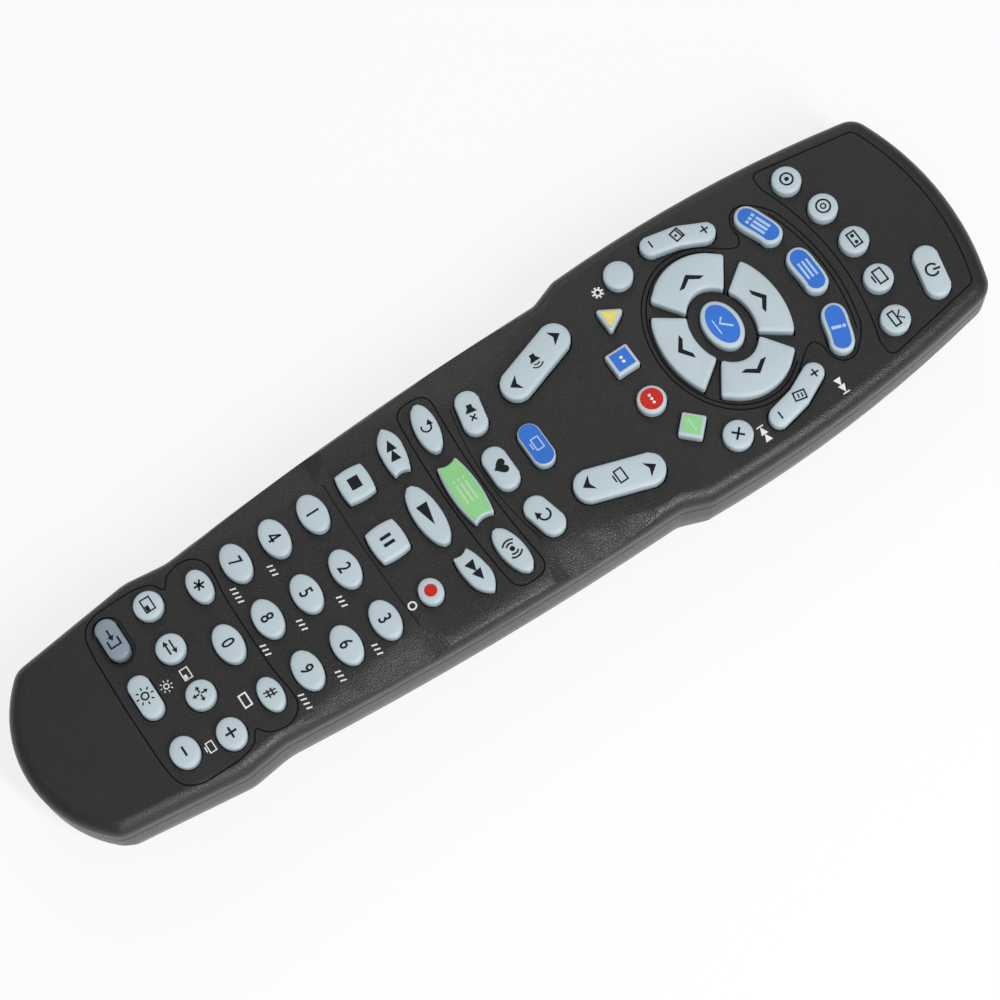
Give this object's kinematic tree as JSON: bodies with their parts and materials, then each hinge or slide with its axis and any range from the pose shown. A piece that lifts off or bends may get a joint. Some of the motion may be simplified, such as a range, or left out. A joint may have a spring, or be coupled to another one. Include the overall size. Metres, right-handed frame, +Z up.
{
  "type": "cable box remote control",
  "caption": "Long waisted hand-held remote control with a soft-key keypad, navigation ring, rockers and a sliding battery door.",
  "frame": {"origin": "centre of the bounding box in plan, at the flat underside that rests on a table", "axes": "+X to the right as the keys are read, +Y along the length to the nose that holds the infrared window, +Z up out of the keypad"},
  "size_m": [0.06, 0.2264, 0.0262],
  "materials": {
    "housing_plastic": "fine sparkle texture",
    "window_plastic": "polished, infrared-clear",
    "key_silicone": "satin silicone",
    "key_slate": "satin silicone",
    "key_blue": "satin silicone",
    "key_red": "satin silicone",
    "key_green": "satin silicone",
    "key_yellow": "satin silicone",
    "board_laminate": "solder-masked laminate",
    "component_plastic": "moulded epoxy",
    "emitter_resin": "clear blue resin",
    "cell_sleeve": "plain sleeve",
    "contact_steel": "nickel plated",
    "screw_steel": "zinc plated"
  },
  "bodies": {
    "housing": {"upper_case": "housing_plastic", "lower_case": "housing_plastic", "ir_window": "window_plastic", "key_mat": "key_silicone", "circuit_board": "board_laminate", "board_components": "component_plastic", "ir_led": "emitter_resin", "battery_cells": "cell_sleeve", "battery_contacts": "contact_steel", "case_screws": "screw_steel"},
    "door": {"battery_door": "housing_plastic"},
    "key_power": {"key_power": "key_silicone"},
    "device_keys": {"device_keys": "key_silicone"},
    "key_guide": {"key_guide": "key_silicone"},
    "key_menu": {"key_menu": "key_silicone"},
    "key_info": {"key_info": "key_silicone"},
    "key_day": {"key_day": "key_silicone"},
    "key_page": {"key_page": "key_silicone"},
    "key_up": {"key_up": "key_silicone"},
    "key_down": {"key_down": "key_silicone"},
    "key_left": {"key_left": "key_silicone"},
    "key_right": {"key_right": "key_silicone"},
    "key_select": {"key_select": "key_silicone"},
    "key_settings": {"key_settings": "key_silicone"},
    "key_exit": {"key_exit": "key_silicone"},
    "key_a": {"key_a": "key_yellow"},
    "key_b": {"key_b": "key_blue"},
    "key_c": {"key_c": "key_red"},
    "key_d": {"key_d": "key_green"},
    "key_volume": {"key_volume": "key_silicone"},
    "key_channel": {"key_channel": "key_silicone"},
    "key_library": {"key_library": "key_blue"},
    "key_mute": {"key_mute": "key_silicone"},
    "key_favorite": {"key_favorite": "key_silicone"},
    "key_last": {"key_last": "key_silicone"},
    "key_replay": {"key_replay": "key_silicone"},
    "key_list": {"key_list": "key_green"},
    "key_live": {"key_live": "key_silicone"},
    "key_rewind": {"key_rewind": "key_silicone"},
    "key_play": {"key_play": "key_silicone"},
    "key_forward": {"key_forward": "key_silicone"},
    "key_stop": {"key_stop": "key_silicone"},
    "key_pause": {"key_pause": "key_silicone"},
    "key_record": {"key_record": "key_silicone"},
    "key_1": {"key_1": "key_silicone"},
    "key_2": {"key_2": "key_silicone"},
    "key_3": {"key_3": "key_silicone"},
    "key_4": {"key_4": "key_silicone"},
    "key_5": {"key_5": "key_silicone"},
    "key_6": {"key_6": "key_silicone"},
    "key_7": {"key_7": "key_silicone"},
    "key_8": {"key_8": "key_silicone"},
    "key_9": {"key_9": "key_silicone"},
    "key_star": {"key_star": "key_silicone"},
    "key_0": {"key_0": "key_silicone"},
    "key_hash": {"key_hash": "key_silicone"},
    "pip_keys": {"pip_keys": "key_silicone"},
    "channel_keys": {"channel_keys": "key_silicone"},
    "key_source": {"key_source": "key_slate"},
    "key_light": {"key_light": "key_silicone"}
  },
  "joints": [
    {"name": "door_slide", "type": "slide", "parent": "housing", "child": "door", "axis": [0, -1, 0], "range_m": [0, 0.08]},
    {"name": "press_power", "type": "slide", "parent": "housing", "child": "key_power", "axis": [0, 0, -1], "range_m": [0, 0.0008], "stiffness_N_per_m": 900, "springref_m": -0.0003},
    {"name": "press_device_keys", "type": "slide", "parent": "housing", "child": "device_keys", "axis": [0, 0, -1], "range_m": [0, 0.0008], "stiffness_N_per_m": 900, "springref_m": -0.0003},
    {"name": "press_guide", "type": "slide", "parent": "housing", "child": "key_guide", "axis": [0, 0, -1], "range_m": [0, 0.0008], "stiffness_N_per_m": 900, "springref_m": -0.0003},
    {"name": "press_menu", "type": "slide", "parent": "housing", "child": "key_menu", "axis": [0, 0, -1], "range_m": [0, 0.0008], "stiffness_N_per_m": 900, "springref_m": -0.0003},
    {"name": "press_info", "type": "slide", "parent": "housing", "child": "key_info", "axis": [0, 0, -1], "range_m": [0, 0.0008], "stiffness_N_per_m": 900, "springref_m": -0.0003},
    {"name": "rock_day", "type": "hinge", "parent": "housing", "child": "key_day", "pos_m": [-0.0219, 0.0602, 0.0208], "axis": [0.9455, -0.3256, 0], "range_deg": [-2.8, 2.8], "stiffness_Nm_per_rad": 0.2},
    {"name": "rock_page", "type": "hinge", "parent": "housing", "child": "key_page", "pos_m": [0.0219, 0.0602, 0.0208], "axis": [0.9455, 0.3256, 0], "range_deg": [-2.8, 2.8], "stiffness_Nm_per_rad": 0.2},
    {"name": "press_up", "type": "slide", "parent": "housing", "child": "key_up", "axis": [0, 0, -1], "range_m": [0, 0.0008], "stiffness_N_per_m": 900, "springref_m": -0.0003},
    {"name": "press_down", "type": "slide", "parent": "housing", "child": "key_down", "axis": [0, 0, -1], "range_m": [0, 0.0008], "stiffness_N_per_m": 900, "springref_m": -0.0003},
    {"name": "press_left", "type": "slide", "parent": "housing", "child": "key_left", "axis": [0, 0, -1], "range_m": [0, 0.0008], "stiffness_N_per_m": 900, "springref_m": -0.0003},
    {"name": "press_right", "type": "slide", "parent": "housing", "child": "key_right", "axis": [0, 0, -1], "range_m": [0, 0.0008], "stiffness_N_per_m": 900, "springref_m": -0.0003},
    {"name": "press_select", "type": "slide", "parent": "housing", "child": "key_select", "axis": [0, 0, -1], "range_m": [0, 0.0008], "stiffness_N_per_m": 900, "springref_m": -0.0003},
    {"name": "press_settings", "type": "slide", "parent": "housing", "child": "key_settings", "axis": [0, 0, -1], "range_m": [0, 0.0008], "stiffness_N_per_m": 900, "springref_m": -0.0003},
    {"name": "press_exit", "type": "slide", "parent": "housing", "child": "key_exit", "axis": [0, 0, -1], "range_m": [0, 0.0008], "stiffness_N_per_m": 900, "springref_m": -0.0003},
    {"name": "press_a", "type": "slide", "parent": "housing", "child": "key_a", "axis": [0, 0, -1], "range_m": [0, 0.0008], "stiffness_N_per_m": 900, "springref_m": -0.0003},
    {"name": "press_b", "type": "slide", "parent": "housing", "child": "key_b", "axis": [0, 0, -1], "range_m": [0, 0.0008], "stiffness_N_per_m": 900, "springref_m": -0.0003},
    {"name": "press_c", "type": "slide", "parent": "housing", "child": "key_c", "axis": [0, 0, -1], "range_m": [0, 0.0008], "stiffness_N_per_m": 900, "springref_m": -0.0003},
    {"name": "press_d", "type": "slide", "parent": "housing", "child": "key_d", "axis": [0, 0, -1], "range_m": [0, 0.0008], "stiffness_N_per_m": 900, "springref_m": -0.0003},
    {"name": "rock_volume", "type": "hinge", "parent": "housing", "child": "key_volume", "pos_m": [-0.0154, 0.0198, 0.0208], "axis": [0.9494, 0.314, 0], "range_deg": [-2.8, 2.8], "stiffness_Nm_per_rad": 0.2},
    {"name": "rock_channel", "type": "hinge", "parent": "housing", "child": "key_channel", "pos_m": [0.0154, 0.0198, 0.0208], "axis": [0.9494, -0.314, 0], "range_deg": [-2.8, 2.8], "stiffness_Nm_per_rad": 0.2},
    {"name": "press_library", "type": "slide", "parent": "housing", "child": "key_library", "axis": [0, 0, -1], "range_m": [0, 0.0008], "stiffness_N_per_m": 900, "springref_m": -0.0003},
    {"name": "press_mute", "type": "slide", "parent": "housing", "child": "key_mute", "axis": [0, 0, -1], "range_m": [0, 0.0008], "stiffness_N_per_m": 900, "springref_m": -0.0003},
    {"name": "press_favorite", "type": "slide", "parent": "housing", "child": "key_favorite", "axis": [0, 0, -1], "range_m": [0, 0.0008], "stiffness_N_per_m": 900, "springref_m": -0.0003},
    {"name": "press_last", "type": "slide", "parent": "housing", "child": "key_last", "axis": [0, 0, -1], "range_m": [0, 0.0008], "stiffness_N_per_m": 900, "springref_m": -0.0003},
    {"name": "press_replay", "type": "slide", "parent": "housing", "child": "key_replay", "axis": [0, 0, -1], "range_m": [0, 0.0008], "stiffness_N_per_m": 900, "springref_m": -0.0003},
    {"name": "press_list", "type": "slide", "parent": "housing", "child": "key_list", "axis": [0, 0, -1], "range_m": [0, 0.0008], "stiffness_N_per_m": 900, "springref_m": -0.0003},
    {"name": "press_live", "type": "slide", "parent": "housing", "child": "key_live", "axis": [0, 0, -1], "range_m": [0, 0.0008], "stiffness_N_per_m": 900, "springref_m": -0.0003},
    {"name": "press_rewind", "type": "slide", "parent": "housing", "child": "key_rewind", "axis": [0, 0, -1], "range_m": [0, 0.0008], "stiffness_N_per_m": 900, "springref_m": -0.0003},
    {"name": "press_play", "type": "slide", "parent": "housing", "child": "key_play", "axis": [0, 0, -1], "range_m": [0, 0.0008], "stiffness_N_per_m": 900, "springref_m": -0.0003},
    {"name": "press_forward", "type": "slide", "parent": "housing", "child": "key_forward", "axis": [0, 0, -1], "range_m": [0, 0.0008], "stiffness_N_per_m": 900, "springref_m": -0.0003},
    {"name": "press_stop", "type": "slide", "parent": "housing", "child": "key_stop", "axis": [0, 0, -1], "range_m": [0, 0.0008], "stiffness_N_per_m": 900, "springref_m": -0.0003},
    {"name": "press_pause", "type": "slide", "parent": "housing", "child": "key_pause", "axis": [0, 0, -1], "range_m": [0, 0.0008], "stiffness_N_per_m": 900, "springref_m": -0.0003},
    {"name": "press_record", "type": "slide", "parent": "housing", "child": "key_record", "axis": [0, 0, -1], "range_m": [0, 0.0008], "stiffness_N_per_m": 900, "springref_m": -0.0003},
    {"name": "press_1", "type": "slide", "parent": "housing", "child": "key_1", "axis": [0, 0, -1], "range_m": [0, 0.0008], "stiffness_N_per_m": 900, "springref_m": -0.0003},
    {"name": "press_2", "type": "slide", "parent": "housing", "child": "key_2", "axis": [0, 0, -1], "range_m": [0, 0.0008], "stiffness_N_per_m": 900, "springref_m": -0.0003},
    {"name": "press_3", "type": "slide", "parent": "housing", "child": "key_3", "axis": [0, 0, -1], "range_m": [0, 0.0008], "stiffness_N_per_m": 900, "springref_m": -0.0003},
    {"name": "press_4", "type": "slide", "parent": "housing", "child": "key_4", "axis": [0, 0, -1], "range_m": [0, 0.0008], "stiffness_N_per_m": 900, "springref_m": -0.0003},
    {"name": "press_5", "type": "slide", "parent": "housing", "child": "key_5", "axis": [0, 0, -1], "range_m": [0, 0.0008], "stiffness_N_per_m": 900, "springref_m": -0.0003},
    {"name": "press_6", "type": "slide", "parent": "housing", "child": "key_6", "axis": [0, 0, -1], "range_m": [0, 0.0008], "stiffness_N_per_m": 900, "springref_m": -0.0003},
    {"name": "press_7", "type": "slide", "parent": "housing", "child": "key_7", "axis": [0, 0, -1], "range_m": [0, 0.0008], "stiffness_N_per_m": 900, "springref_m": -0.0003},
    {"name": "press_8", "type": "slide", "parent": "housing", "child": "key_8", "axis": [0, 0, -1], "range_m": [0, 0.0008], "stiffness_N_per_m": 900, "springref_m": -0.0003},
    {"name": "press_9", "type": "slide", "parent": "housing", "child": "key_9", "axis": [0, 0, -1], "range_m": [0, 0.0008], "stiffness_N_per_m": 900, "springref_m": -0.0003},
    {"name": "press_star", "type": "slide", "parent": "housing", "child": "key_star", "axis": [0, 0, -1], "range_m": [0, 0.0008], "stiffness_N_per_m": 900, "springref_m": -0.0003},
    {"name": "press_0", "type": "slide", "parent": "housing", "child": "key_0", "axis": [0, 0, -1], "range_m": [0, 0.0008], "stiffness_N_per_m": 900, "springref_m": -0.0003},
    {"name": "press_hash", "type": "slide", "parent": "housing", "child": "key_hash", "axis": [0, 0, -1], "range_m": [0, 0.0008], "stiffness_N_per_m": 900, "springref_m": -0.0003},
    {"name": "press_pip_keys", "type": "slide", "parent": "housing", "child": "pip_keys", "axis": [0, 0, -1], "range_m": [0, 0.0008], "stiffness_N_per_m": 900, "springref_m": -0.0003},
    {"name": "press_channel_keys", "type": "slide", "parent": "housing", "child": "channel_keys", "axis": [0, 0, -1], "range_m": [0, 0.0008], "stiffness_N_per_m": 900, "springref_m": -0.0003},
    {"name": "press_source", "type": "slide", "parent": "housing", "child": "key_source", "axis": [0, 0, -1], "range_m": [0, 0.0008], "stiffness_N_per_m": 900, "springref_m": -0.0003},
    {"name": "press_light", "type": "slide", "parent": "housing", "child": "key_light", "axis": [0, 0, -1], "range_m": [0, 0.0008], "stiffness_N_per_m": 900, "springref_m": -0.0003}
  ]
}
